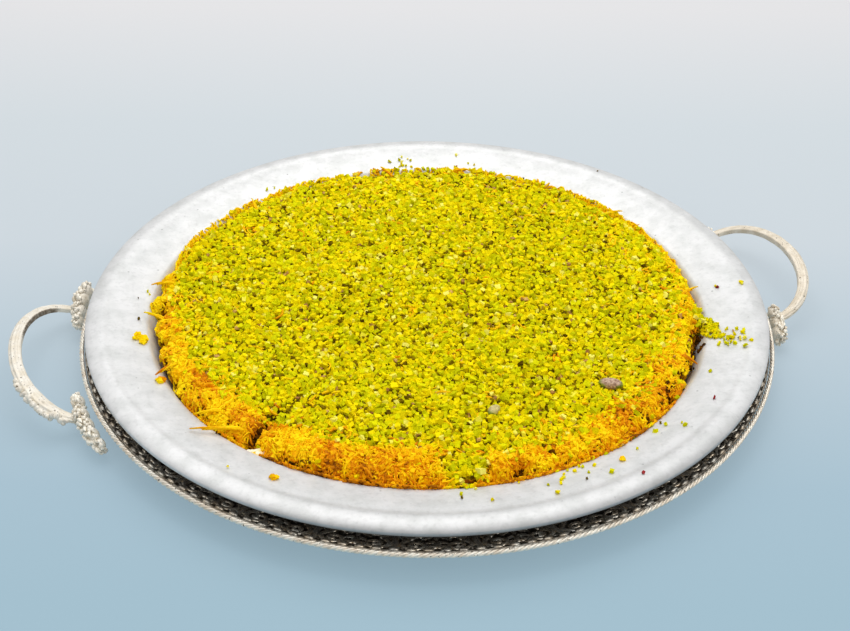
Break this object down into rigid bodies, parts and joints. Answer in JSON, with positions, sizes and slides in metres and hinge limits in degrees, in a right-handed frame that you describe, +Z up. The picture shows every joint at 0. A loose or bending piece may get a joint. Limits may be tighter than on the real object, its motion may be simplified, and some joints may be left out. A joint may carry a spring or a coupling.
{
  "type": "kunafa on a serving tray",
  "caption": "Round kunafa strewn with ground pistachio, filling a white metal platter that stands on a pierced silver tray with bow handles.",
  "frame": {"origin": "on the ground under the middle of the tray", "axes": "+X through the right handle, +Y away from the picture's camera side, +Z up"},
  "size_m": [0.4833, 0.4092, 0.0313],
  "materials": {
    "kunafa": "golden shredded pastry under yellow-green ground pistachio, matt and crumbly",
    "pistachio": "pistachio kernel with pink and green skin, slightly waxy",
    "platter_metal": "satin white metal with fine scratches",
    "tray_silver": "warm polished silver plate, darker in its hollows"
  },
  "bodies": {
    "root": {"kunafa": "kunafa", "pistachio_kernel_1": "pistachio", "pistachio_kernel_2": "pistachio", "platter": "platter_metal", "tray_floor": "tray_silver", "gallery": "tray_silver", "rope_rim": "tray_silver", "handle_left": "tray_silver", "handle_right": "tray_silver"}
  },
  "joints": []
}
